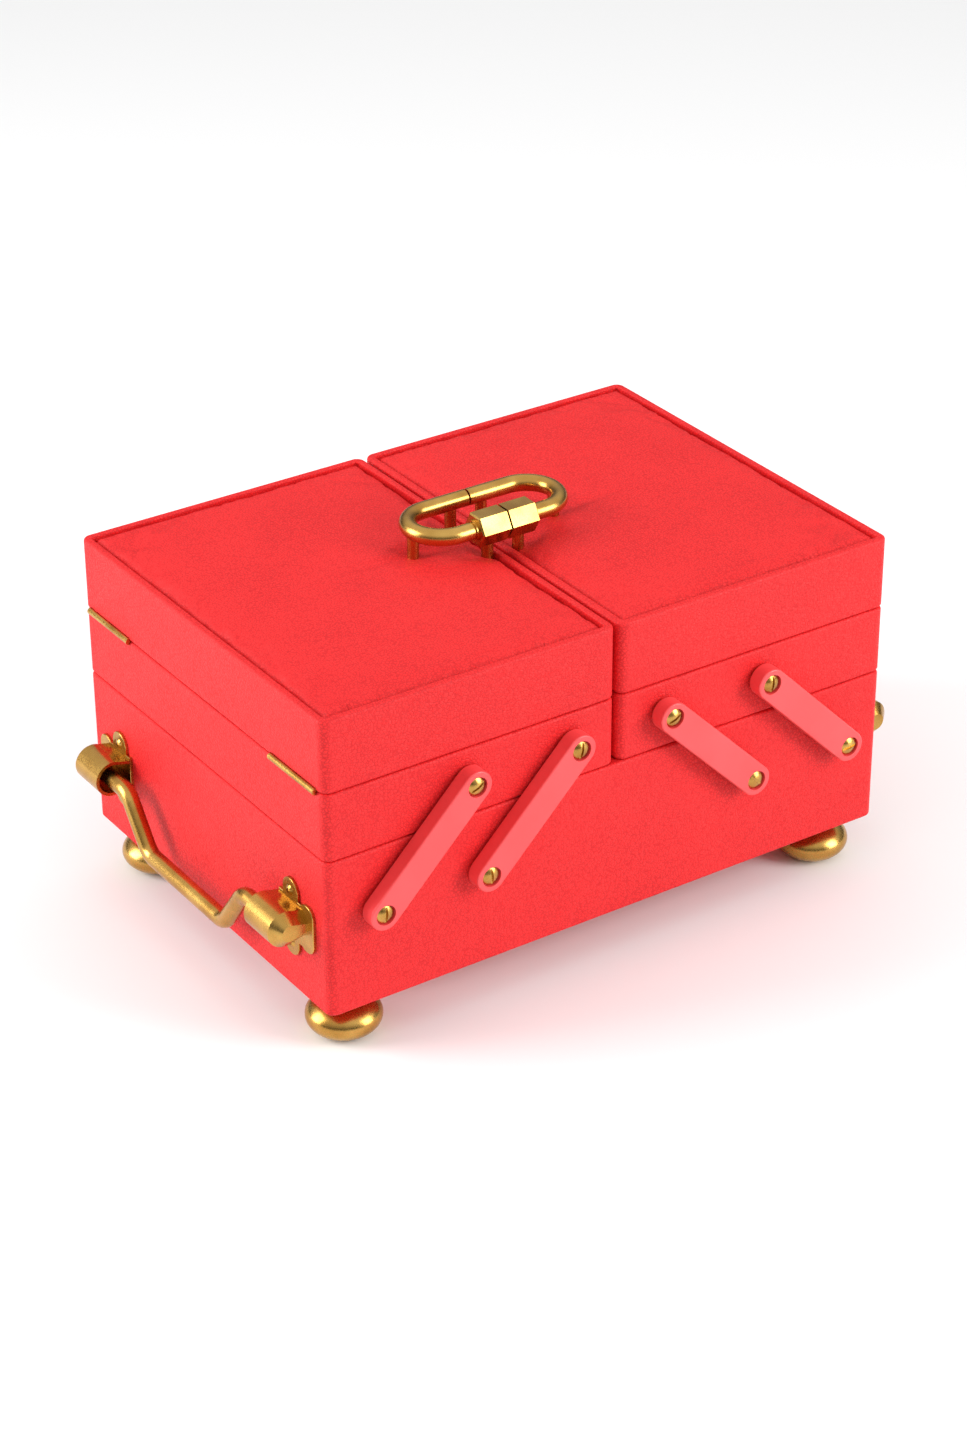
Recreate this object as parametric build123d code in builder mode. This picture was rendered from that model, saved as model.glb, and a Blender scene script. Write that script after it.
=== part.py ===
from build123d import *
import os
from math import atan2, degrees, hypot

# Sewing box: a footed base carries two trays side by side, and each tray has its own lid.
# Four lever arms, two in front and two behind, let a tray swing up and outwards while level.
# Millimetres. X runs along the width, Y to the back, Z up. The origin is on the table,
# under the middle of the box. Pieces of the left half are drawn and then mirrored.

# Boxes
box_width = 300.0
box_depth = 207.0
base_height = 77.3
tray_height = 32.7
lid_height = 35.0
seam = 0.4
centre_gap = 2.0
corner_radius = 4.5
edge_radius = 1.5
base_wall = 7.0
base_floor = 6.0
tray_wall = 6.0
tray_floor = 4.0
lid_wall = 6.0
lid_board = 4.0
pocket_radius = 2.5
rim_softening = 1.0
lining_thickness = 1.2
lining_setback = 2.5

# Padded panel in the top of each lid
rim_width = 3.6
recess_depth = 4.0
recess_radius = 2.0
recess_softening = 0.8
groove = 0.9
panel_crown = 0.8
panel_shoulder = 2.2

# Ball feet
foot_height = 24.2
foot_radius = 17.3
foot_half_height = 9.8
foot_sole_radius = 8.0
foot_neck_radius = 10.0
foot_x = 130.5
foot_y = 82.5
foot_stud_radius = 3.0
foot_stud_grip = 4.0
foot_stud_reach = 14.0

# Lever arms: the low pivots are on the base, the high ones on the tray
low_pivot_height = 48.8
high_pivot_height = 96.0
outer_arm_foot_x = 126.0
arm_spacing = 54.0
arm_lean = 47.0
arm_width = 14.8
arm_thickness = 7.6
arm_edge = 0.7
washer_thickness = 1.2
washer_radius = 6.0

# Slotted pivot screws
screw_head_radius = 4.25
screw_rim = 0.9
screw_dome = 1.5
screw_shaft_radius = 2.4
screw_slot_width = 1.1
screw_slot_depth = 1.1
screw_grip = 5.0
counterbore_radius = 4.8
counterbore_depth = 1.9
running_clearance = 0.05
seat_clearance = 0.02

# Bail handles on the ends
bail_axis_height = 40.5
bail_standoff = 10.5
bail_rod_radius = 4.0
bail_elbow_y = 51.8
bail_grip_y = 33.6
bail_drop = 24.0
bail_bend_radius = 9.0

# Sleeve that holds each end of a bail, and the pressed plate behind it
plate_thickness = 1.5
sleeve_radius = 8.6
sleeve_neck = 6.6
sleeve_wall = 1.5
sleeve_mouth_y = 66.0
sleeve_socket_y = 76.0
sleeve_end_y = 90.5
sleeve_bevel = 4.6
bail_end_y = 85.0
ear_radius = 6.0
ear_y = 75.5
upper_ear_rise = 11.0
lower_ear_drop = 15.5
plate_body_width = 21.0
plate_body_drop = 13.0
plate_body_rise = 7.8
flange_y = 93.8
flange_width = 11.0
flange_corner = 5.0
flange_rise = 9.5
flange_drop = 14.0
plate_screw_head = 2.6
plate_screw_dome = 1.1
plate_screw_shaft = 1.3
plate_screw_length = 6.5
cross_width = 0.7
cross_depth = 0.7
plate_edge = 0.4

# Barrel hinges between each tray and its lid
hinge_y = 79.5
hinge_barrel_radius = 1.6
hinge_outset = 0.3
hinge_clearance = 0.25
leaf_width = 5.4
leaf_thickness = 0.8
tray_knuckle = 6.3
lid_knuckle = 8.4
knuckle_gap = 0.1
hinge_pin_radius = 0.75

# Link across the two lids: an oval of round rod with a hexagonal nut, cut at the centre gap
link_half_length = 38.0
link_half_width = 14.9
link_rise = 13.6
link_rod_radius = 4.0
link_cut = 1.0
nut_flats = 14.0
nut_half_length = 15.2
nut_bevel = 0.6
collar_radius = 4.9
collar_length = 1.3
post_radius = 2.75
post_socket = 1.4
inner_post_x = 8.3
post_screw_radius = 1.5
post_screw_head = 2.9
post_screw_sink = 1.6
post_screw_grip = 6.0

# Levels and half-box sizes that follow
base_bottom = foot_height
base_top = base_bottom + base_height
tray_bottom = base_top + seam
tray_top = tray_bottom + tray_height
hinge_z = tray_top + seam / 2
lid_bottom = tray_top + seam
lid_top = lid_bottom + lid_height
recess_floor = lid_top - recess_depth
board_underside = recess_floor - lid_board
half_width = (box_width - centre_gap) / 2
half_centre = -(box_width + centre_gap) / 4
end_face = -box_width / 2
front_face = box_depth / 2
arm_inner = front_face + washer_thickness
arm_outer = arm_inner + arm_thickness
low_z = base_bottom + low_pivot_height
high_z = base_bottom + high_pivot_height
low_pivots = [(-outer_arm_foot_x, low_z), (-outer_arm_foot_x + arm_spacing, low_z)]
high_pivots = [(x + arm_lean, high_z) for x, z in low_pivots]
bail_x = end_face - bail_standoff
bail_z = base_bottom + bail_axis_height
plate_face = end_face - plate_thickness
link_z = lid_top + link_rise

os.makedirs("parts", exist_ok=True)


def save(node, piece):
    """Write one node's STEP file under its own name."""
    piece.label = node
    export_step(piece, f"parts/{node}.step")


def save_pair(node, piece):
    """Write the left piece and its mirror image on the right."""
    save(f"{node}_left", piece)
    save(f"{node}_right", mirror(piece, about=Plane.YZ))


def front_and_back(points):
    """Locations on the front and back faces whose own Z points away from the box."""
    front = [Location((x, -arm_outer + counterbore_depth, z), (90, 0, 0)) for x, z in points]
    back = [Location((x, arm_outer - counterbore_depth, z), (-90, 0, 0)) for x, z in points]
    return front + back


def along_y(radius, length, mode):
    """Cylinder lying along Y at the active locations."""
    Cylinder(radius, length, rotation=(90, 0, 0), mode=mode)


def prism(x_centre, width, depth, radius, bottom, top):
    """Upright block with rounded corners between two heights."""
    with BuildPart() as block:
        with BuildSketch(Plane.XY.offset(bottom)):
            with Locations((x_centre, 0)):
                RectangleRounded(width, depth, radius)
        extrude(amount=top - bottom)
    return block.part


def outer_block(x_centre, width, bottom, top):
    """Closed box with the shared depth, rounded corners and softened rims."""
    with BuildPart() as block:
        add(prism(x_centre, width, box_depth, corner_radius, bottom, top))
        fillet(block.faces().filter_by(Axis.Z).edges(), edge_radius)
    return block.part


def pocket(x_centre, width, wall, bottom, top):
    """The hollow inside walls of the given thickness."""
    return prism(x_centre, width - 2 * wall, box_depth - 2 * wall, pocket_radius, bottom, top)


def lined(x_centre, width, wall, bottom, top, opening):
    """Thin cloth-covered lining of a pocket, open at its top (+1) or underneath (-1)."""
    with BuildPart() as lining:
        low = bottom + (lining_setback if opening < 0 else 0)
        high = top - (lining_setback if opening > 0 else 0)
        add(pocket(x_centre, width, wall, low, high))
        inner_low = low + (lining_thickness if opening > 0 else 0)
        inner_high = high - (lining_thickness if opening < 0 else 0)
        inner_width = width - 2 * (wall + lining_thickness)
        inner_depth = box_depth - 2 * (wall + lining_thickness)
        inner_radius = pocket_radius - lining_thickness
        hollow = prism(x_centre, inner_width, inner_depth, inner_radius, inner_low, inner_high)
        add(hollow, mode=Mode.SUBTRACT)
    return lining.part


def tray_shell(x_centre, width, bottom, top, wall, floor):
    """Open-topped box whose inner rim is softened too."""
    with BuildPart() as shell:
        add(outer_block(x_centre, width, bottom, top))
        add(pocket(x_centre, width, wall, bottom + floor, top), mode=Mode.SUBTRACT)
        rim = shell.faces().filter_by(Axis.Z).sort_by(Axis.Z)[-1]
        fillet(rim.inner_wires().edges(), rim_softening)
    return shell.part


# Base: the footed box that the arms and the end handles are fixed to
with BuildPart() as base_box:
    add(tray_shell(0, box_width, base_bottom, base_top, base_wall, base_floor))
    pivots = [(side * x, 0, z) for x, z in low_pivots for side in (1, -1)]
    with Locations(*pivots):
        along_y(screw_shaft_radius + seat_clearance, box_depth, Mode.SUBTRACT)
    ear_heights = (bail_z + upper_ear_rise, bail_z - lower_ear_drop)
    with Locations(*[(0, side * ear_y, z) for side in (1, -1) for z in ear_heights]):
        bore = plate_screw_shaft + seat_clearance
        Cylinder(bore, box_width, rotation=(0, 90, 0), mode=Mode.SUBTRACT)
    with BuildSketch(Plane.XY.offset(base_bottom)):
        with GridLocations(2 * foot_x, 2 * foot_y, 2, 2):
            Circle(foot_stud_radius + seat_clearance)
    extrude(amount=foot_stud_grip, mode=Mode.SUBTRACT)
save("base_box", base_box.part)

with BuildPart() as base_lining:
    add(lined(0, box_width, base_wall, base_bottom + base_floor, base_top, 1))
save("base_lining", base_lining.part)


# Feet: flattened balls on short necks, each held by a stud
def foot_profile_height(radius):
    """Half height of the ball where its section has the given radius."""
    return foot_half_height * (1 - (radius / foot_radius) ** 2) ** 0.5


foot_middle = foot_profile_height(foot_sole_radius)
with BuildPart() as foot:
    with BuildSketch(Plane.XZ):
        with Locations((0, foot_middle)):
            Ellipse(foot_radius, foot_half_height)
        with Locations((0, foot_height / 2)):
            Rectangle(4 * foot_radius, foot_height, mode=Mode.INTERSECT)
        with Locations((0, (foot_middle + foot_height) / 2)):
            Rectangle(2 * foot_neck_radius, foot_height - foot_middle)
        with Locations((foot_radius, foot_height / 2)):
            Rectangle(2 * foot_radius, foot_height, mode=Mode.INTERSECT)
    revolve(axis=Axis.Z)
    with Locations((0, 0, foot_height)):
        Hole(foot_stud_radius + seat_clearance, depth=foot_stud_reach)
with BuildPart() as feet:
    with GridLocations(2 * foot_x, 2 * foot_y, 2, 2):
        add(foot.part)
save("feet", feet.part)

with BuildPart() as foot_studs:
    with BuildSketch(Plane.XY.offset(base_bottom - foot_stud_reach)):
        with GridLocations(2 * foot_x, 2 * foot_y, 2, 2):
            Circle(foot_stud_radius)
    extrude(amount=foot_stud_reach + foot_stud_grip)
save("foot_studs", foot_studs.part)


# Lever arms, with a counterbored pivot hole at each end
def lever_arm(low, high):
    """One front arm between its pivot on the base and its pivot on the tray."""
    rise = high[1] - low[1]
    run = high[0] - low[0]
    with BuildPart() as arm:
        with BuildSketch(Plane.XZ.offset(arm_inner)):
            with Locations(((low[0] + high[0]) / 2, (low[1] + high[1]) / 2)):
                SlotCenterToCenter(hypot(run, rise), arm_width, rotation=degrees(atan2(rise, run)))
        extrude(amount=arm_thickness)
        fillet(arm.faces().filter_by(Axis.Y).edges(), arm_edge)
        with Locations(Plane.XZ.offset(arm_outer)):
            with Locations(low, high):
                bore = screw_shaft_radius + running_clearance
                CounterBoreHole(bore, counterbore_radius, counterbore_depth)
    return arm.part


for place, low, high in zip(("outer", "inner"), low_pivots, high_pivots):
    front_arm = lever_arm(low, high)
    back_arm = mirror(front_arm, about=Plane.XZ)
    for row, arm in (("front", front_arm), ("back", back_arm)):
        save(f"arm_{row}_left_{place}", arm)
        save(f"arm_{row}_right_{place}", mirror(arm, about=Plane.YZ))


# Pivot screws: domed slotted heads, no two turned quite alike
def pivot_screw(slot_angle):
    """Screw whose head sits on the origin and whose shaft points down."""
    shaft_length = arm_thickness - counterbore_depth + washer_thickness + screw_grip
    head_height = screw_rim + screw_dome
    with BuildPart() as screw:
        with BuildSketch(Plane.XZ):
            with BuildLine():
                TangentArc((0, head_height), (screw_head_radius, screw_rim), tangent=(1, 0))
                Polyline(
                    (screw_head_radius, screw_rim),
                    (screw_head_radius, 0),
                    (screw_shaft_radius, 0),
                    (screw_shaft_radius, -shaft_length),
                    (0, -shaft_length),
                    (0, head_height),
                )
            make_face()
        revolve(axis=Axis.Z)
        with Locations((0, 0, head_height - screw_slot_depth / 2)):
            slot_length = 2 * screw_head_radius + 1
            turn = (0, 0, slot_angle)
            Box(slot_length, screw_slot_width, screw_slot_depth, rotation=turn, mode=Mode.SUBTRACT)
    return screw.part


def pivot_screws(points, slot_angles):
    """Screws at the same pivots front and back, one slot angle for each."""
    with BuildPart() as screws:
        for place, angle in zip(front_and_back(points), slot_angles):
            add(pivot_screw(angle).moved(place))
    return screws.part


def pivot_washers(points):
    """Spacers that hold the arms off the leather."""
    bore = screw_shaft_radius + running_clearance
    with BuildPart() as washers:
        for offset in (front_face, -front_face - washer_thickness):
            with BuildSketch(Plane.XZ.offset(offset)):
                with Locations(*points):
                    Circle(washer_radius)
                    Circle(bore, mode=Mode.SUBTRACT)
        extrude(amount=washer_thickness)
    return washers.part


right_low_pivots = [(-x, z) for x, z in reversed(low_pivots)]
right_high_pivots = [(-x, z) for x, z in reversed(high_pivots)]
base_pivots = low_pivots + right_low_pivots
save("pivot_screws_base", pivot_screws(base_pivots, (84, 92, -42, 8, 70, 15, 120, 95)))
save("pivot_screws_tray_left", pivot_screws(high_pivots, (28, 78, 50, 104)))
save("pivot_screws_tray_right", pivot_screws(right_high_pivots, (26, 82, 140, 66)))
save("pivot_washers_base", pivot_washers(base_pivots))
save("pivot_washers_tray_left", pivot_washers(high_pivots))
save("pivot_washers_tray_right", pivot_washers(right_high_pivots))

# Bail handles: one bent rod on each end, hanging straight down
bail_outline = [
    (bail_end_y, bail_z),
    (bail_elbow_y, bail_z),
    (bail_grip_y, bail_z - bail_drop),
    (-bail_grip_y, bail_z - bail_drop),
    (-bail_elbow_y, bail_z),
    (-bail_end_y, bail_z),
]
with BuildPart() as bail:
    with BuildLine() as bail_path:
        FilletPolyline(*[(bail_x, y, z) for y, z in bail_outline], radius=bail_bend_radius)
    with BuildSketch(Plane(origin=(bail_x, bail_end_y, bail_z), z_dir=(0, -1, 0))):
        Circle(bail_rod_radius)
    sweep(path=bail_path.line)
save_pair("bail", bail.part)


# Sleeves: round towards the hand, straight-sided towards the plate, closed and bevelled outside
def sleeve_outline(wall):
    """Draw a sleeve's section, less a wall, into the open sketch."""
    radius = sleeve_radius - wall
    neck = sleeve_neck - wall
    reach = plate_face - bail_x
    with Locations((bail_x, bail_z)):
        Circle(radius)
        Polygon((0, radius), (reach, neck), (reach, -neck), (0, -radius), align=None)


with BuildPart() as sleeve:
    with BuildSketch(Plane.XZ.offset(-sleeve_mouth_y)):
        sleeve_outline(0)
    extrude(amount=sleeve_mouth_y - sleeve_end_y)
    end_edges = sleeve.faces().sort_by(Axis.Y)[-1].edges().sort_by(Axis.X)[:-1]
    chamfer(end_edges, sleeve_bevel)
    with BuildSketch(Plane.XZ.offset(-sleeve_mouth_y)):
        sleeve_outline(sleeve_wall)
    extrude(amount=sleeve_mouth_y - sleeve_socket_y, mode=Mode.SUBTRACT)
    with BuildSketch(Plane.XZ.offset(-sleeve_socket_y)):
        with Locations((bail_x, bail_z)):
            Circle(bail_rod_radius + running_clearance)
    extrude(amount=sleeve_socket_y - bail_end_y - running_clearance, mode=Mode.SUBTRACT)
with BuildPart() as sleeves:
    add(sleeve.part)
    mirror(about=Plane.XZ)
save_pair("bail_sleeves", sleeves.part)

# Plates: a body under the sleeve, a flange beyond it, and an ear above and below for a screw
ear_points = [(ear_y, bail_z + upper_ear_rise), (ear_y, bail_z - lower_ear_drop)]
with BuildPart() as plate:
    with BuildSketch(Plane.YZ.offset(plate_face)):
        body_middle = bail_z + (plate_body_rise - plate_body_drop) / 2
        with Locations((sleeve_mouth_y + plate_body_width / 2, body_middle)):
            Rectangle(plate_body_width, plate_body_rise + plate_body_drop)
        flange_middle = bail_z + (flange_rise - flange_drop) / 2
        with Locations((flange_y - flange_width / 2, flange_middle)):
            RectangleRounded(flange_width, flange_rise + flange_drop, flange_corner)
        with Locations((ear_y, bail_z + (upper_ear_rise - lower_ear_drop) / 2)):
            Rectangle(2 * ear_radius, upper_ear_rise + lower_ear_drop)
        with Locations(*ear_points):
            Circle(ear_radius)
    extrude(amount=plate_thickness)
    fillet(plate.faces().sort_by(Axis.X)[0].edges(), plate_edge)
    with BuildSketch(Plane.YZ.offset(plate_face)):
        with Locations(*ear_points):
            Circle(plate_screw_shaft + seat_clearance)
    extrude(amount=plate_thickness, mode=Mode.SUBTRACT)
with BuildPart() as plates:
    add(plate.part)
    mirror(about=Plane.XZ)
save_pair("bail_plates", plates.part)

with BuildPart() as plate_screw:
    with BuildSketch(Plane.XZ):
        with BuildLine():
            TangentArc((0, plate_screw_dome), (plate_screw_head, 0), tangent=(1, 0))
            Polyline(
                (plate_screw_head, 0),
                (plate_screw_shaft, 0),
                (plate_screw_shaft, -plate_screw_length),
                (0, -plate_screw_length),
                (0, plate_screw_dome),
            )
        make_face()
    revolve(axis=Axis.Z)
    with Locations((0, 0, plate_screw_dome - cross_depth / 2)):
        Box(plate_screw_head, cross_width, cross_depth, mode=Mode.SUBTRACT)
        Box(cross_width, plate_screw_head, cross_depth, mode=Mode.SUBTRACT)
with BuildPart() as plate_screws:
    for y, z in ear_points:
        add(plate_screw.part.moved(Location((plate_face, y, z), (0, -90, 0))))
    mirror(about=Plane.XZ)
save_pair("bail_plate_screws", plate_screws.part)

# Hinges: a five-knuckle barrel just outside the end face, with both leaves hidden in the seam
hinge_x = end_face - hinge_outset
knuckle_lengths = (tray_knuckle, lid_knuckle, tray_knuckle, lid_knuckle, tray_knuckle)
hinge_length = sum(knuckle_lengths) + (len(knuckle_lengths) - 1) * knuckle_gap
hinge_centres = [(hinge_x, hinge_y, hinge_z), (hinge_x, -hinge_y, hinge_z)]
knuckles = []
start = -hinge_length / 2
for length in knuckle_lengths:
    knuckles.append((start + length / 2, length))
    start += length + knuckle_gap


def hinge_leaves(own, other, side):
    """Both leaves on one side of the seam (-1 below it, +1 above), with their own knuckles."""
    plate_z = side * (seam + leaf_thickness) / 2
    bore = hinge_pin_radius + running_clearance
    clear = 2 * (hinge_barrel_radius + hinge_clearance)
    with BuildPart() as leaves:
        with Locations(*hinge_centres):
            with Locations((leaf_width / 2, 0, plate_z)):
                Box(leaf_width, hinge_length, leaf_thickness)
            for middle, length in own:
                with Locations((0, middle, 0)):
                    along_y(hinge_barrel_radius, length, Mode.ADD)
            for middle, length in other:
                with Locations((0, middle, 0)):
                    Box(clear, length + 2 * knuckle_gap, clear, mode=Mode.SUBTRACT)
            along_y(bore, hinge_length, Mode.SUBTRACT)
    return leaves.part


save_pair("hinge_tray_leaves", hinge_leaves(knuckles[0::2], knuckles[1::2], -1))
save_pair("hinge_lid_leaves", hinge_leaves(knuckles[1::2], knuckles[0::2], 1))

with BuildPart() as hinge_pins:
    with Locations(*hinge_centres):
        along_y(hinge_pin_radius, hinge_length, Mode.ADD)
save_pair("hinge_pins", hinge_pins.part)

with BuildPart() as hinge_seats:
    with Locations(*hinge_centres):
        along_y(hinge_barrel_radius + hinge_clearance, hinge_length + 2 * knuckle_gap, Mode.ADD)
        with Locations((leaf_width / 2, 0, 0)):
            Box(leaf_width + knuckle_gap, hinge_length + 2 * knuckle_gap, seam + 2 * leaf_thickness)

# Trays
with BuildPart() as tray_box:
    add(tray_shell(half_centre, half_width, tray_bottom, tray_top, tray_wall, tray_floor))
    with Locations(*[(x, 0, z) for x, z in high_pivots]):
        along_y(screw_shaft_radius + seat_clearance, box_depth, Mode.SUBTRACT)
    add(hinge_seats.part, mode=Mode.SUBTRACT)
save_pair("tray_box", tray_box.part)
tray_floor_z = tray_bottom + tray_floor
save_pair("tray_lining", lined(half_centre, half_width, tray_wall, tray_floor_z, tray_top, 1))

# Lids: hollow underneath, with a shallow recess on top for the padded panel
outer_post = (-link_half_length, 0)
rod_post = (-inner_post_x, link_half_width)
nut_post = (-inner_post_x, -link_half_width)
post_points = (outer_post, rod_post, nut_post)


def post_screw(clearance):
    """Countersunk screw from under a lid's board up into a post, or the hole that it needs."""
    with BuildPart() as screw:
        head = post_screw_head + clearance
        shaft = post_screw_radius + clearance
        with Locations((0, 0, board_underside)):
            low = (Align.CENTER, Align.CENTER, Align.MIN)
            Cone(head, shaft, post_screw_sink, align=low)
            Cylinder(shaft, lid_board + post_screw_grip + clearance, align=low)
    return screw.part


with BuildPart() as post_screws:
    with Locations(*post_points):
        add(post_screw(0))
save_pair("link_post_screws", post_screws.part)

with BuildPart() as post_screw_holes:
    with Locations(*post_points):
        add(post_screw(seat_clearance))

recess_inset = 2 * rim_width
with BuildPart() as lid_frame:
    add(outer_block(half_centre, half_width, lid_bottom, lid_top))
    add(pocket(half_centre, half_width, lid_wall, lid_bottom, board_underside), mode=Mode.SUBTRACT)
    recess_size = (half_width - recess_inset, box_depth - recess_inset, recess_radius)
    add(prism(half_centre, *recess_size, recess_floor, lid_top), mode=Mode.SUBTRACT)
    flat_faces = lid_frame.faces().filter_by(Axis.Z).sort_by(Axis.Z)
    fillet(flat_faces[0].inner_wires().edges(), rim_softening)
    fillet(flat_faces[-1].inner_wires().edges(), recess_softening)
    add(hinge_seats.part, mode=Mode.SUBTRACT)
    add(post_screw_holes.part, mode=Mode.SUBTRACT)
save_pair("lid_frame", lid_frame.part)
lid_pocket_ends = (lid_bottom, board_underside)
save_pair("lid_lining", lined(half_centre, half_width, lid_wall, *lid_pocket_ends, -1))

panel_inset = 2 * (rim_width + groove)
with BuildPart() as lid_panel:
    panel_size = (half_width - panel_inset, box_depth - panel_inset, recess_radius)
    add(prism(half_centre, *panel_size, recess_floor, lid_top + panel_crown))
    fillet(lid_panel.faces().sort_by(Axis.Z)[-1].edges(), panel_shoulder)
    with Locations(*[(x, y, lid_top) for x, y in post_points]):
        Cylinder(post_radius + hinge_clearance, 4 * recess_depth, mode=Mode.SUBTRACT)
save_pair("lid_panel", lid_panel.part)

# Link: rod halves, nut halves and the posts that carry them over the padding
rod_socket = link_z - link_rod_radius + post_socket
nut_socket = link_z - nut_flats / 2 + post_socket
bend_x = -(link_half_length - link_half_width)
socket_radius = post_radius + seat_clearance
down = (Align.CENTER, Align.CENTER, Align.MAX)
with BuildPart() as link_rod:
    with BuildLine(Plane.XY.offset(link_z)) as rod_path:
        back_run = Line((-link_cut / 2, link_half_width), (bend_x, link_half_width))
        bend = RadiusArc(back_run @ 1, (bend_x, -link_half_width), -link_half_width)
        Line(bend @ 1, (-link_cut / 2, -link_half_width))
    with BuildSketch(Plane(origin=(-link_cut / 2, link_half_width, link_z), z_dir=(-1, 0, 0))):
        Circle(link_rod_radius)
    sweep(path=rod_path.line)
    with Locations((*outer_post, rod_socket), (*rod_post, rod_socket)):
        Cylinder(socket_radius, link_rod_radius, align=down, mode=Mode.SUBTRACT)
save_pair("link_rod", link_rod.part)

with BuildPart() as link_nut:
    with BuildSketch(Plane.YZ.offset(-nut_half_length)):
        with Locations((-link_half_width, link_z)):
            RegularPolygon(nut_flats / 2, 6, major_radius=False)
    extrude(amount=nut_half_length - link_cut / 2)
    chamfer(link_nut.faces().sort_by(Axis.X)[0].edges(), nut_bevel)
    with BuildSketch(Plane.YZ.offset(-nut_half_length - collar_length)):
        with Locations((-link_half_width, link_z)):
            Circle(collar_radius)
    extrude(amount=2 * collar_length)
    with BuildSketch(Plane.YZ.offset(-nut_half_length - collar_length)):
        with Locations((-link_half_width, link_z)):
            Circle(link_rod_radius + running_clearance)
    extrude(amount=nut_half_length + collar_length, mode=Mode.SUBTRACT)
    with Locations((*nut_post, nut_socket)):
        Cylinder(socket_radius, nut_flats / 2, align=down, mode=Mode.SUBTRACT)
save_pair("link_nut", link_nut.part)

with BuildPart() as link_posts:
    for (x, y), top in zip(post_points, (rod_socket, rod_socket, nut_socket)):
        with Locations((x, y, top)):
            Cylinder(post_radius, top - recess_floor, align=down)
    add(post_screw_holes.part, mode=Mode.SUBTRACT)
save_pair("link_posts", link_posts.part)
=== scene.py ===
import math

import bpy
import numpy as np
from mathutils import Matrix, Vector


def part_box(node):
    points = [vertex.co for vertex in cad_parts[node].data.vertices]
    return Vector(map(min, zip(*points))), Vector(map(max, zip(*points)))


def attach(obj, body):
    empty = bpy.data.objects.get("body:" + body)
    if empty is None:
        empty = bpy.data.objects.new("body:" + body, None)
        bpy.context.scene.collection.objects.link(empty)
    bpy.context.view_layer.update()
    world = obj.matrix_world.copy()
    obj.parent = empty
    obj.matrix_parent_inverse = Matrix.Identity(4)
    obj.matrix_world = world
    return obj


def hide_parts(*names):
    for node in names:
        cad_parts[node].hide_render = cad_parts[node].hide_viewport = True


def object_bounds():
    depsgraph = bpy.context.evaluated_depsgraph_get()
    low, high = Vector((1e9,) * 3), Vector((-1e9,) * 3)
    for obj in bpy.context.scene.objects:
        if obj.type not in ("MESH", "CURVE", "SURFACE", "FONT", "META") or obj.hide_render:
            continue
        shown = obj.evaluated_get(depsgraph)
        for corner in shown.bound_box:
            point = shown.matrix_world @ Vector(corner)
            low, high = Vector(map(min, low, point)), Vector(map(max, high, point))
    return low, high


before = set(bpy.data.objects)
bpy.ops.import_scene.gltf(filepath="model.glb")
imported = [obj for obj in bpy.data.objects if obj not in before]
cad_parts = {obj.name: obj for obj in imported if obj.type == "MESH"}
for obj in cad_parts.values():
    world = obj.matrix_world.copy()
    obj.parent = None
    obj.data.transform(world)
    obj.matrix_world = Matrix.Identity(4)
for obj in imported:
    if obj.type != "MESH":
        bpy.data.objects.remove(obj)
CAD_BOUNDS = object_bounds()
MM = 0.001

bl_info = {
    "name": "Sewing Box Finishes",
    "version": (1, 0, 0),
    "blender": (4, 5, 0),
    "location": "View3D > Sidebar > Sewing Box",
    "description": "Leather, padding, lacquer, brass and lining for a sewing box with trays",
    "category": "Object",
}


class SewingBoxColours(bpy.types.PropertyGroup):
    """Colours of the finishes, as sRGB hex values."""

    leather: bpy.props.StringProperty(
        name="Leather", description="Pigmented top coat of the leather", default="#EE292A"
    )
    # Painted shade: the darker colour mixed into the grain's valleys, where shade falls.
    leather_crease_shade: bpy.props.StringProperty(
        name="Leather creases", description="Top coat lying in the grain's valleys", default="#B80F18"
    )
    lacquer: bpy.props.StringProperty(
        name="Arm lacquer", description="Sprayed lacquer on the lever arms", default="#F14E50"
    )
    lacquer_deep: bpy.props.StringProperty(
        name="Lacquer shade", description="Lacquer where it pooled thicker", default="#E0302F"
    )
    brass: bpy.props.StringProperty(
        name="Brass", description="Brass where the tumbling brightened it", default="#D4AB5E"
    )
    brass_patina: bpy.props.StringProperty(
        name="Brass patina", description="Antiqued tone that stays in the hollows", default="#A87A38"
    )
    lining: bpy.props.StringProperty(
        name="Lining", description="Short-napped cotton lining", default="#A3141C"
    )
    lining_shade: bpy.props.StringProperty(
        name="Lining shade", description="Between the lining's threads", default="#6E0A11"
    )
    floor: bpy.props.StringProperty(
        name="Floor", description="Pale studio floor", default="#F4F4F4"
    )


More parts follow.
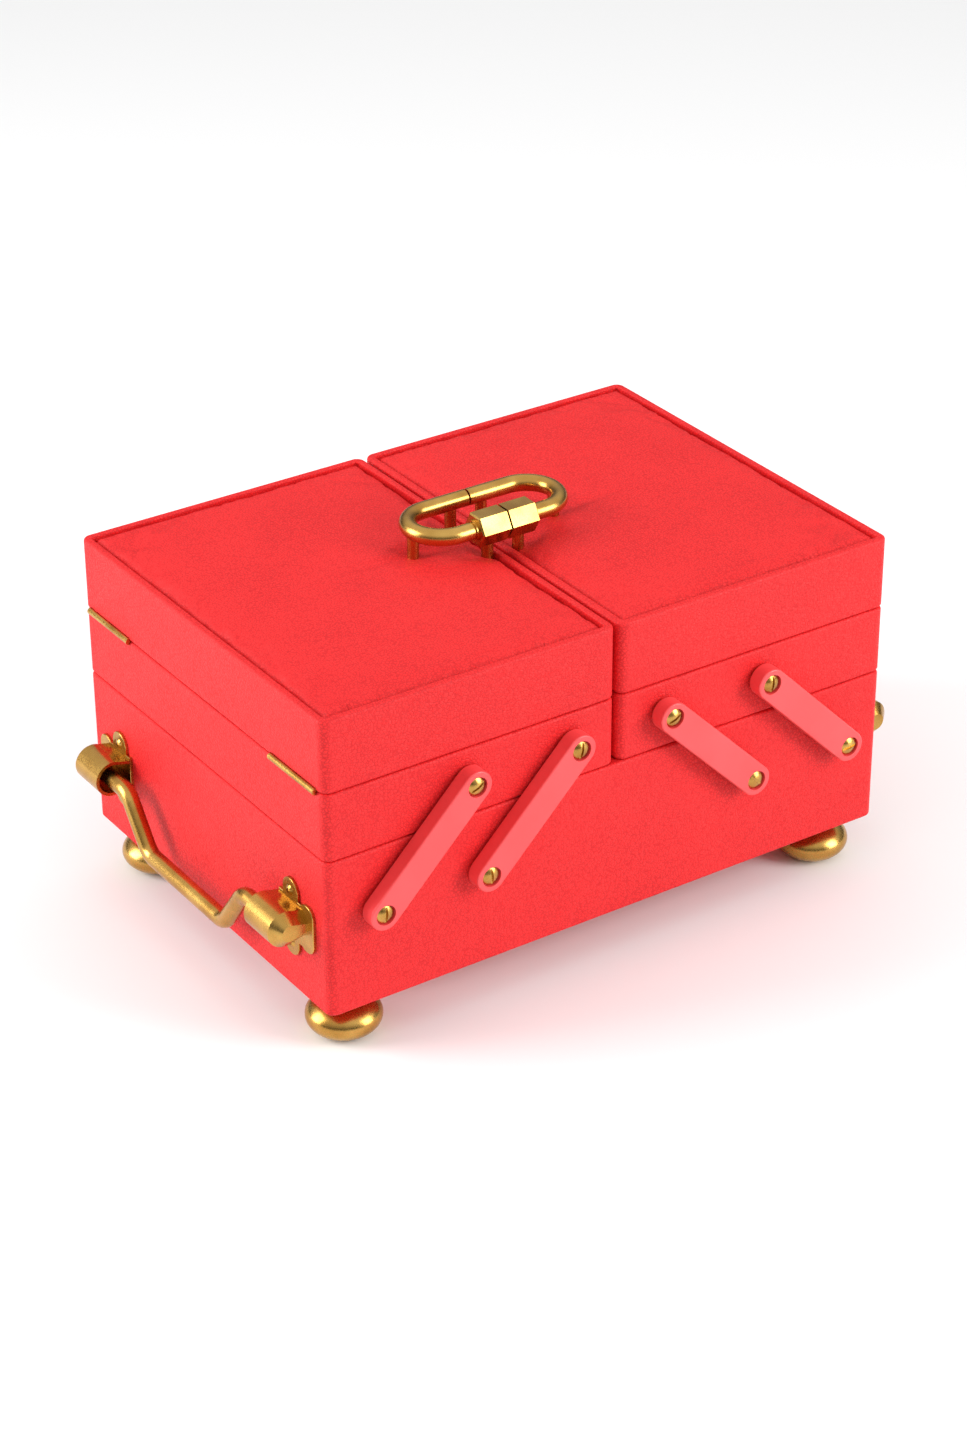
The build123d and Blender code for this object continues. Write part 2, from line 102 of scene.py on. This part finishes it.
class SewingBoxSizes(bpy.types.PropertyGroup):
    """Sizes of the finishes and the padding."""

    pebble: bpy.props.FloatProperty(
        name="Pebble", description="Width of one pebble of the grain",
        default=1.5 * MM, subtype="DISTANCE", unit="LENGTH",
    )
    grain_depth: bpy.props.FloatProperty(
        name="Grain depth", description="Depth of the valleys between pebbles",
        default=0.3 * MM, subtype="DISTANCE", unit="LENGTH",
    )
    crown: bpy.props.FloatProperty(
        name="Panel crown", description="How far the padding lifts the middle of a panel",
        default=2.3 * MM, subtype="DISTANCE", unit="LENGTH",
    )
    shoulder: bpy.props.FloatProperty(
        name="Panel shoulder", description="Width of the padding's rolled edge",
        default=4.5 * MM, subtype="DISTANCE", unit="LENGTH",
    )
    edge_drop: bpy.props.FloatProperty(
        name="Edge drop", description="How far the rolled edge falls to the groove",
        default=3.2 * MM, subtype="DISTANCE", unit="LENGTH",
    )
    gather: bpy.props.FloatProperty(
        name="Gathers", description="How far the pull of the glued edge creases the padded leather",
        default=11.0 * MM, subtype="DISTANCE", unit="LENGTH",
    )
    post_dimple: bpy.props.FloatProperty(
        name="Post dimple", description="How far a post pulls the padding down",
        default=1.3 * MM, subtype="DISTANCE", unit="LENGTH",
    )
    swell: bpy.props.FloatProperty(
        name="Swell limit", description="Furthest that the simulated leather may move",
        default=1.2 * MM, subtype="DISTANCE", unit="LENGTH",
    )
    skin: bpy.props.FloatProperty(
        name="Leather thickness", description="Leather that always lies between the top and the seat",
        default=0.4 * MM, subtype="DISTANCE", unit="LENGTH",
    )
    thread: bpy.props.FloatProperty(
        name="Lining thread", description="Spacing of the lining's threads",
        default=0.7 * MM, subtype="DISTANCE", unit="LENGTH",
    )


def colours():
    return bpy.context.scene.sewing_box_colours


def sizes():
    return bpy.context.scene.sewing_box_sizes


def linear(hex_colour):
    """sRGB hex to linear RGBA."""
    parts = [int(hex_colour[i:i + 2], 16) / 255 for i in (1, 3, 5)]
    return [p / 12.92 if p <= 0.04045 else ((p + 0.055) / 1.055) ** 2.4 for p in parts] + [1.0]


def node(owner, kind, inputs, **settings):
    """Add one shader node to a material or world; an input is a value, or a socket to link from."""
    made = owner.node_tree.nodes.new("ShaderNode" + kind)
    for setting, value in settings.items():
        setattr(made, setting, value)
    for key, value in inputs.items():
        if isinstance(value, bpy.types.NodeSocket):
            owner.node_tree.links.new(value, made.inputs[key])
        else:
            made.inputs[key].default_value = value
    return made


def new_material(name):
    """Empty node material, and coordinates in the row frame's metres; finish_material adds its output."""
    material = bpy.data.materials.new(name)
    material.use_nodes = True
    material.node_tree.nodes.clear()
    place = node(material, "TexCoord", {}).outputs["Object"]
    return material, place


def finish_material(material, surface):
    node(material, "OutputMaterial", {"Surface": surface.outputs[0]})
    return material


def edge_gathers(material, place, half_depth):
    """Short creases that run in from the front and back edges, where the leather is pulled down."""
    apart = node(material, "SeparateXYZ", {0: place})
    aside = node(material, "Math", {0: apart.outputs["Y"]}, operation="ABSOLUTE")
    reach = node(material, "MapRange", {"Value": aside.outputs[0], 1: half_depth - sizes().gather,
                                        2: half_depth, 3: 0.0, 4: 1.0}, interpolation_type="SMOOTHSTEP")
    stretch = node(material, "VectorMath", {0: place, 1: (1.0, 0.12, 0.12)}, operation="MULTIPLY")
    creases = node(material, "TexNoise", {"Vector": stretch.outputs[0], "Scale": 1 / (2.2 * MM),
                                          "Detail": 1.0})
    height = node(material, "Math", {0: creases.outputs["Fac"], 1: reach.outputs[0]},
                  operation="MULTIPLY")
    return node(material, "Bump", {"Height": height.outputs[0], "Strength": 1.0, "Distance": 1.6 * MM})


def pebble_leather(name, pebble_scale, relief, half_depth=None):
    """Pebble-grain cowhide, pigment-coated: embossed pebbles under a semi-matt film.
    The valleys are painted darker as shade, and the film is glossier on the pebble tops.
    With half_depth, the leather is also gathered along the two edges that far from the middle."""
    material, place = new_material(name)
    pebble = sizes().pebble * pebble_scale
    drift = node(material, "TexNoise", {"Vector": place, "Scale": 1 / (4 * pebble), "Detail": 2.0})
    wander = node(material, "VectorMath", {0: drift.outputs["Color"], 1: (0.5, 0.5, 0.5)},
                  operation="SUBTRACT")
    nudge = node(material, "VectorMath", {0: wander.outputs[0], "Scale": 1.6 * pebble}, operation="SCALE")
    bent = node(material, "VectorMath", {0: place, 1: nudge.outputs[0]})
    cells = node(material, "TexVoronoi", {"Vector": bent.outputs[0], "Scale": 1 / pebble, "Randomness": 0.9},
                 feature="DISTANCE_TO_EDGE")
    tops = node(material, "MapRange", {"Value": cells.outputs["Distance"], 1: 0.0, 2: 0.22, 3: 0.0, 4: 1.0},
                interpolation_type="SMOOTHSTEP")
    pores = node(material, "TexNoise", {"Vector": place, "Scale": 3.2 / pebble, "Detail": 3.0})
    folds = node(material, "TexNoise", {"Vector": place, "Scale": 1 / (2.6 * pebble), "Detail": 3.0})
    height = node(material, "MixRGB", {0: 0.22, 1: tops.outputs[0], 2: pores.outputs["Fac"]})
    height = node(material, "MixRGB", {0: 0.5, 1: height.outputs[0], 2: folds.outputs["Fac"]})
    relief_inputs = {"Height": height.outputs[0], "Strength": relief, "Distance": sizes().grain_depth}
    if half_depth:
        relief_inputs["Normal"] = edge_gathers(material, place, half_depth).outputs[0]
    grain = node(material, "Bump", relief_inputs)
    cloud = node(material, "TexNoise", {"Vector": place, "Scale": 1 / (35 * MM), "Detail": 2.0})
    # Painted shade: the valleys between pebbles are darkened towards the crease shade colour; the cloud
    # below adds random mottle.
    depth = node(material, "MapRange", {"Value": tops.outputs[0], 1: 0.0, 2: 1.0, 3: 0.55, 4: 0.0})
    shade = node(material, "MapRange", {"Value": cloud.outputs["Fac"], 1: 0.3, 2: 0.75, 3: 0.0, 4: 0.16})
    painted_shade_and_mottle = node(material, "Math", {0: depth.outputs[0], 1: shade.outputs[0]}, operation="ADD",
                 use_clamp=True)
    # The top coat's colour, with the painted valley shade mixed in.
    film = node(material, "MixRGB", {0: painted_shade_and_mottle.outputs[0], 1: linear(colours().leather),
                                     2: linear(colours().leather_crease_shade)})
    gloss = node(material, "MapRange", {"Value": height.outputs[0], 1: 0.2, 2: 0.9, 3: 0.62, 4: 0.44})
    skin = node(material, "BsdfPrincipled", {
        "Base Color": film.outputs[0], "Roughness": gloss.outputs[0], "IOR": 1.5,
        "Specular IOR Level": 0.28, "Normal": grain.outputs[0],
    })
    return finish_material(material, skin)


def sprayed_lacquer(name):
    """Coloured polyurethane lacquer sprayed on the arms: smooth, with faint orange peel."""
    material, place = new_material(name)
    peel = node(material, "TexNoise", {"Vector": place, "Scale": 1 / (1.6 * MM), "Detail": 2.0})
    cloud = node(material, "TexNoise", {"Vector": place, "Scale": 1 / (22 * MM), "Detail": 3.0})
    tone = node(material, "MapRange", {"Value": cloud.outputs["Fac"], 1: 0.3, 2: 0.8, 3: 0.0, 4: 0.3})
    coat = node(material, "MixRGB", {0: tone.outputs[0], 1: linear(colours().lacquer),
                                     2: linear(colours().lacquer_deep)})
    gloss = node(material, "MapRange", {"Value": cloud.outputs["Fac"], 1: 0.3, 2: 0.8, 3: 0.3, 4: 0.4})
    ripple = node(material, "Bump", {"Height": peel.outputs["Fac"], "Strength": 0.25,
                                     "Distance": 0.05 * MM})
    skin = node(material, "BsdfPrincipled", {
        "Base Color": coat.outputs[0], "Roughness": gloss.outputs[0], "IOR": 1.5,
        "Normal": ripple.outputs[0],
    })
    return finish_material(material, skin)


def antiqued_brass(name):
    """Cast and drawn brass, toned dark and tumbled back to a satin: bright where it was rubbed."""
    material, place = new_material(name)
    cloud = node(material, "TexNoise", {"Vector": place, "Scale": 1 / (14 * MM), "Detail": 4.0})
    scuffs = node(material, "TexNoise", {"Vector": place, "Scale": 1 / (0.6 * MM), "Detail": 3.0})
    tone = node(material, "MapRange", {"Value": cloud.outputs["Fac"], 1: 0.25, 2: 0.8, 3: 0.0, 4: 1.0})
    metal = node(material, "MixRGB", {0: tone.outputs[0], 1: linear(colours().brass_patina),
                                      2: linear(colours().brass)})
    gloss = node(material, "MapRange", {"Value": scuffs.outputs["Fac"], 1: 0.3, 2: 0.7, 3: 0.22, 4: 0.32})
    ripple = node(material, "Bump", {"Height": scuffs.outputs["Fac"], "Strength": 0.12,
                                     "Distance": 0.02 * MM})
    skin = node(material, "BsdfPrincipled", {
        "Base Color": metal.outputs[0], "Metallic": 1.0, "Roughness": gloss.outputs[0],
        "Normal": ripple.outputs[0],
    })
    return finish_material(material, skin)


def cotton_lining(name):
    """Plain-woven cotton with a short raised nap, glued over card."""
    material, place = new_material(name)
    pitch = 2 * math.pi / (20 * sizes().thread)
    warps = node(material, "TexWave", {"Vector": place, "Scale": pitch, "Distortion": 1.5},
                 bands_direction="DIAGONAL")
    nap = node(material, "TexNoise", {"Vector": place, "Scale": 1 / (0.9 * MM), "Detail": 4.0})
    cloth = node(material, "MixRGB", {0: 0.55, 1: warps.outputs["Fac"], 2: nap.outputs["Fac"]})
    dye = node(material, "MixRGB", {0: cloth.outputs[0], 1: linear(colours().lining_shade),
                                    2: linear(colours().lining)})
    fuzz = node(material, "Bump", {"Height": cloth.outputs[0], "Strength": 0.5, "Distance": 0.15 * MM})
    skin = node(material, "BsdfPrincipled", {
        "Base Color": dye.outputs[0], "Roughness": 0.92, "IOR": 1.5, "Sheen Weight": 0.12,
        "Sheen Roughness": 0.5, "Normal": fuzz.outputs[0],
    })
    return finish_material(material, skin)


def studio_paper(name):
    """Matt white background paper."""
    material, place = new_material(name)
    tooth = node(material, "TexNoise", {"Vector": place, "Scale": 1 / (2 * MM), "Detail": 2.0})
    press = node(material, "Bump", {"Height": tooth.outputs["Fac"], "Strength": 0.05, "Distance": 0.1 * MM})
    skin = node(material, "BsdfPrincipled", {
        "Base Color": linear(colours().floor), "Roughness": 0.95, "Normal": press.outputs[0],
    })
    return finish_material(material, skin)


def cover(material, *starts):
    """Give a material to every CAD node whose name starts in one of these ways."""
    found = [made for name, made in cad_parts.items() if name.startswith(starts)]
    if not found:
        raise RuntimeError("no CAD node is named " + " or ".join(starts))
    for made in found:
        made.data.materials.clear()
        made.data.materials.append(material)
        for face in made.data.polygons:
            face.material_index = 0


class SEWINGBOX_OT_leather_boxes(bpy.types.Operator):
    """Cover the base, the trays and the lids with leather"""

    bl_idname = "sewingbox.leather_boxes"
    bl_label = "Leather Boxes"

    def execute(self, context):
        cover(pebble_leather("red_pebble_leather", 1.0, 1.0), "base_box", "tray_box",
              "lid_frame", "lid_panel")
        return {"FINISHED"}


class SEWINGBOX_OT_lever_arms(bpy.types.Operator):
    """Lacquer the eight lever arms"""

    bl_idname = "sewingbox.lever_arms"
    bl_label = "Lever Arms"

    def execute(self, context):
        cover(sprayed_lacquer("red_lacquer"), "arm_")
        return {"FINISHED"}


class SEWINGBOX_OT_brassware(bpy.types.Operator):
    """Finish the feet, handles, hinges, screws and link in brass"""

    bl_idname = "sewingbox.brassware"
    bl_label = "Brassware"

    def execute(self, context):
        cover(antiqued_brass("antiqued_brass"), "feet", "foot_studs", "bail_", "hinge_", "pivot_", "link_")
        return {"FINISHED"}


class SEWINGBOX_OT_linings(bpy.types.Operator):
    """Line the base, the trays and the lids with cloth"""

    bl_idname = "sewingbox.linings"
    bl_label = "Linings"

    def execute(self, context):
        cover(cotton_lining("napped_cotton"), "base_lining", "tray_lining", "lid_lining")
        return {"FINISHED"}


PANEL_GRID = 1.6 * MM
PANEL_CORNER = 1.5 * MM
PANEL_BASE_DROP = 1.2 * MM
POST_NEARNESS = 5 * MM
POST_PULL_REACH = 6 * MM
POST_GRIP = 4.2 * MM
SEAT_CLEARANCE = 0.02 * MM
SWELL_FRAMES = 20
LEATHER_OVER_FOAM = {
    "quality": 6,
    "mass": 0.3,
    "tension_stiffness": 18,
    "compression_stiffness": 18,
    "shear_stiffness": 6,
    "bending_stiffness": 0.35,
    "use_pressure": True,
    "uniform_pressure_force": 2.2,
    "shrink_min": -0.012,
    "vertex_group_mass": "held",
}


def post_centres(side):
    """Where the link's posts stand on a lid: the CAD posts' points, grouped by nearness."""
    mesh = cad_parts[f"link_posts_{side}"].data
    points = np.array([v.co[:2] for v in mesh.vertices])
    centres = []
    for point in points:
        near = [c for c in centres if np.linalg.norm(np.mean(c, axis=0) - point) < POST_NEARNESS]
        if near:
            near[0].append(point)
        else:
            centres.append([point])
    return [np.mean(c, axis=0) for c in centres]


def edge_distance(x, y, low, high, radius):
    """Distance inwards from the outline of a rectangle with rounded corners."""
    half = (high - low) / 2
    px = abs(x - (low[0] + high[0]) / 2) - (half[0] - radius)
    py = abs(y - (low[1] + high[1]) / 2) - (half[1] - radius)
    outside = math.hypot(max(px, 0), max(py, 0)) + min(max(px, py), 0)
    return radius - outside


def panel_grid(low, high, step):
    """Evenly spaced columns and rows that reach both sides of a panel."""
    counts = [round((high[i] - low[i]) / step) for i in (0, 1)]
    return [np.linspace(low[i], high[i], counts[i] + 1) for i in (0, 1)]


def panel_top(side, low, high):
    """Grid mesh of the leather over a panel's padding, before it is simulated."""
    size = sizes()
    xs, ys = panel_grid(low, high, PANEL_GRID)
    posts = post_centres(side)
    middle = (low + high) / 2
    points = []
    held = []
    for i, x in enumerate(xs):
        for j, y in enumerate(ys):
            inward = edge_distance(x, y, low, high, PANEL_CORNER)
            roll = min(max(inward / size.shoulder, 0), 1)
            u = (x - middle[0]) / (high[0] - low[0]) * 2
            v = (y - middle[1]) / (high[1] - low[1]) * 2
            crown = size.crown * (1 - u ** 4) * (1 - v ** 4)
            drop = size.edge_drop * (1 - math.sqrt(1 - (1 - roll) ** 2))
            z = high[2] - PANEL_BASE_DROP + crown - drop
            gap = min(math.hypot(x - p[0], y - p[1]) for p in posts)
            z -= size.post_dimple * math.exp(-(gap / POST_PULL_REACH) ** 2)
            points.append((x, y, max(z, low[2] + size.skin)))
            on_edge = i in (0, len(xs) - 1) or j in (0, len(ys) - 1)
            held.append(1.0 if on_edge or gap < POST_GRIP else 0.0)
    rows = len(ys)
    faces = []
    for i in range(len(xs) - 1):
        for j in range(rows - 1):
            first = i * rows + j
            faces.append((first, first + rows, first + rows + 1, first + 1))
    return points, faces, held, len(xs), rows


def swell(piece, held):
    """Let the leather swell over its foam as cloth held at its edges and posts, then fix the result."""
    rest = np.array([v.co[:] for v in piece.data.vertices])
    group = piece.vertex_groups.new(name="held")
    for index, weight in enumerate(held):
        group.add([index], weight, "REPLACE")
    cloth = piece.modifiers.new("leather", "CLOTH")
    for setting, value in LEATHER_OVER_FOAM.items():
        setattr(cloth.settings, setting, value)
    cloth.settings.effector_weights.gravity = 0.0
    cloth.collision_settings.use_collision = False
    scene = bpy.context.scene
    scene.frame_end = SWELL_FRAMES
    for step in range(1, SWELL_FRAMES + 1):
        scene.frame_set(step)
    graph = bpy.context.evaluated_depsgraph_get()
    moved = np.array([v.co[:] for v in piece.evaluated_get(graph).data.vertices])
    piece.modifiers.remove(cloth)
    scene.frame_set(1)
    shift = moved - rest
    length = np.linalg.norm(shift, axis=1, keepdims=True)
    limit = sizes().swell
    capped = shift * np.minimum(1, limit / np.maximum(length, 1e-9))
    for vertex, place in zip(piece.data.vertices, rest + capped):
        vertex.co = place


def close_underside(points, faces, columns, rows, bottom):
    """Add a flat underside and a skirt between it and the top, so the panel is one closed form."""
    below = len(points)
    points += [(x, y, bottom) for x, y, _ in points]
    faces += [tuple(below + corner for corner in reversed(face)) for face in faces]
    ring = [i * rows for i in range(columns)]
    ring += [(columns - 1) * rows + j for j in range(1, rows)]
    ring += [i * rows + rows - 1 for i in range(columns - 2, -1, -1)]
    ring += [j for j in range(rows - 2, 0, -1)]
    for here, after in zip(ring, ring[1:] + ring[:1]):
        faces.append((after, here, below + here, below + after))


def padded_panel(side, leather):
    """One lid's padded panel, standing for its CAD node."""
    low, high = (np.array(corner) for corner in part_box(f"lid_panel_{side}"))
    points, faces, held, columns, rows = panel_top(side, low, high)
    mesh = bpy.data.meshes.new(f"padded_panel_{side}")
    mesh.from_pydata(points, [], faces)
    piece = bpy.data.objects.new(f"padded_panel_{side}", mesh)
    bpy.context.scene.collection.objects.link(piece)
    swell(piece, held)
    points = [tuple(v.co) for v in mesh.vertices]
    close_underside(points, faces, columns, rows, low[2] + SEAT_CLEARANCE)
    mesh.clear_geometry()
    mesh.from_pydata(points, [], faces)
    mesh.validate()
    for face in mesh.polygons:
        face.use_smooth = True
    mesh.materials.append(leather)
    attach(piece, f"lid_{side}")
    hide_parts(f"lid_panel_{side}")


class SEWINGBOX_OT_padded_panels(bpy.types.Operator):
    """Make the padded leather panel in the top of each lid"""

    bl_idname = "sewingbox.padded_panels"
    bl_label = "Padded Panels"

    def execute(self, context):
        low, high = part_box("lid_panel_left")
        leather = pebble_leather("padded_pebble_leather", 0.9, 0.7, (high[1] - low[1]) / 2)
        for side in ("left", "right"):
            padded_panel(side, leather)
        return {"FINISHED"}


VIEW_AZIMUTH = -33.83
VIEW_ELEVATION = 29.7
VIEW_ROLL = -0.305
VIEW_DISTANCE = 1.5807
VIEW_OFFSET = Vector((-0.006, -0.0077, -0.0174))
LENS = 85.1
SENSOR = 36.0
LEFT_LAMP = (-1.5, 0.75, 0.75)
FRONT_LAMP = (1.1, -1.45, 0.75)
LAMP_WIDTH = 0.9
LAMP_HEIGHT = 1.2
LAMP_POWER = 15
LAMP_SPREAD = 125
FLOOR_REACH = 6.0
FLOOR_SQUARES = 24


def aim_rotation(direction, roll=0.0):
    """Rotation that points an object's -Z along a direction."""
    turned = direction.to_track_quat("-Z", "Y").to_matrix().to_4x4()
    return turned @ Matrix.Rotation(math.radians(roll), 4, "Z")


def set_camera(centre):
    azimuth = math.radians(VIEW_AZIMUTH)
    elevation = math.radians(VIEW_ELEVATION)
    back = Vector((
        math.sin(azimuth) * math.cos(elevation),
        -math.cos(azimuth) * math.cos(elevation),
        math.sin(elevation),
    ))
    data = bpy.data.cameras.new("studio_camera")
    data.lens = LENS
    data.sensor_width = SENSOR
    data.sensor_fit = "AUTO"
    camera = bpy.data.objects.new("studio_camera", data)
    place = Matrix.Translation(centre + VIEW_OFFSET + back * VIEW_DISTANCE)
    camera.matrix_world = place @ aim_rotation(-back, VIEW_ROLL)
    bpy.context.scene.collection.objects.link(camera)
    bpy.context.scene.camera = camera


def softbox(name, place, aim):
    """Rectangular diffused lamp aimed at a point."""
    data = bpy.data.lights.new(name, "AREA")
    data.shape = "RECTANGLE"
    data.size = LAMP_WIDTH
    data.size_y = LAMP_HEIGHT
    data.energy = LAMP_POWER
    data.spread = math.radians(LAMP_SPREAD)
    lamp = bpy.data.objects.new(name, data)
    lamp.matrix_world = Matrix.Translation(Vector(place)) @ aim_rotation(aim - Vector(place))
    bpy.context.scene.collection.objects.link(lamp)


def studio_air():
    """Overhead diffuser that fades out towards dark walls, with the backdrop itself seen as white."""
    world = bpy.data.worlds.new("studio_air")
    world.use_nodes = True
    world.node_tree.nodes.clear()
    way = node(world, "TexCoord", {}).outputs["Generated"]
    rise = node(world, "SeparateXYZ", {0: way}).outputs["Z"]
    diffuser = node(world, "MapRange", {"Value": rise, 1: 0.1, 2: 0.75, 3: 0.12, 4: 1.25},
                    interpolation_type="SMOOTHSTEP")
    seen = node(world, "LightPath", {}).outputs["Is Camera Ray"]
    strength = node(world, "Math", {0: diffuser.outputs[0], 1: seen}, operation="MAXIMUM")
    glow = node(world, "Background", {"Strength": strength.outputs[0]})
    node(world, "OutputWorld", {"Surface": glow.outputs[0]})
    return world


def studio_floor(low):
    """Large paper sheet under the feet."""
    spots = np.linspace(-FLOOR_REACH, FLOOR_REACH, FLOOR_SQUARES + 1)
    points = [(x, y, low) for x in spots for y in spots]
    rows = len(spots)
    faces = [
        (i * rows + j, (i + 1) * rows + j, (i + 1) * rows + j + 1, i * rows + j + 1)
        for i in range(FLOOR_SQUARES) for j in range(FLOOR_SQUARES)
    ]
    mesh = bpy.data.meshes.new("studio_floor")
    mesh.from_pydata(points, [], faces)
    mesh.materials.append(studio_paper("background_paper"))
    floor = bpy.data.objects.new("studio_floor", mesh)
    bpy.context.scene.collection.objects.link(floor)


class SEWINGBOX_OT_stage(bpy.types.Operator):
    """Set the floor, the soft studio lamps and the camera"""

    bl_idname = "sewingbox.stage"
    bl_label = "Studio Stage"

    def execute(self, context):
        low, high = CAD_BOUNDS
        studio_floor(low[2])
        centre = Vector((0, 0, (low[2] + high[2]) / 2))
        softbox("left_softbox", LEFT_LAMP, centre)
        softbox("front_softbox", FRONT_LAMP, centre)
        context.scene.world = studio_air()
        context.scene.view_settings.view_transform = "Standard"
        set_camera(centre)
        return {"FINISHED"}


class SEWINGBOX_PT_sidebar(bpy.types.Panel):
    """Lists the operators that finish the sewing box"""

    bl_idname = "SEWINGBOX_PT_sidebar"
    bl_label = "Sewing Box"
    bl_space_type = "VIEW_3D"
    bl_region_type = "UI"
    bl_category = "Sewing Box"

    def draw(self, context):
        for operator in OPERATORS:
            self.layout.operator(operator.bl_idname)
        for group in (context.scene.sewing_box_sizes, context.scene.sewing_box_colours):
            for name in group.bl_rna.properties.keys():
                if name not in ("name", "rna_type"):
                    self.layout.prop(group, name)


OPERATORS = (
    SEWINGBOX_OT_leather_boxes,
    SEWINGBOX_OT_lever_arms,
    SEWINGBOX_OT_brassware,
    SEWINGBOX_OT_linings,
    SEWINGBOX_OT_padded_panels,
    SEWINGBOX_OT_stage,
)
CLASSES = (SewingBoxColours, SewingBoxSizes, *OPERATORS, SEWINGBOX_PT_sidebar)


def register():
    for made in CLASSES:
        bpy.utils.register_class(made)
    bpy.types.Scene.sewing_box_colours = bpy.props.PointerProperty(type=SewingBoxColours)
    bpy.types.Scene.sewing_box_sizes = bpy.props.PointerProperty(type=SewingBoxSizes)


def unregister():
    del bpy.types.Scene.sewing_box_sizes
    del bpy.types.Scene.sewing_box_colours
    for made in reversed(CLASSES):
        bpy.utils.unregister_class(made)


def main():
    register()
    bpy.ops.sewingbox.leather_boxes()
    bpy.ops.sewingbox.lever_arms()
    bpy.ops.sewingbox.brassware()
    bpy.ops.sewingbox.linings()
    bpy.ops.sewingbox.padded_panels()
    bpy.ops.sewingbox.stage()


if __name__ == "__main__":
    main()
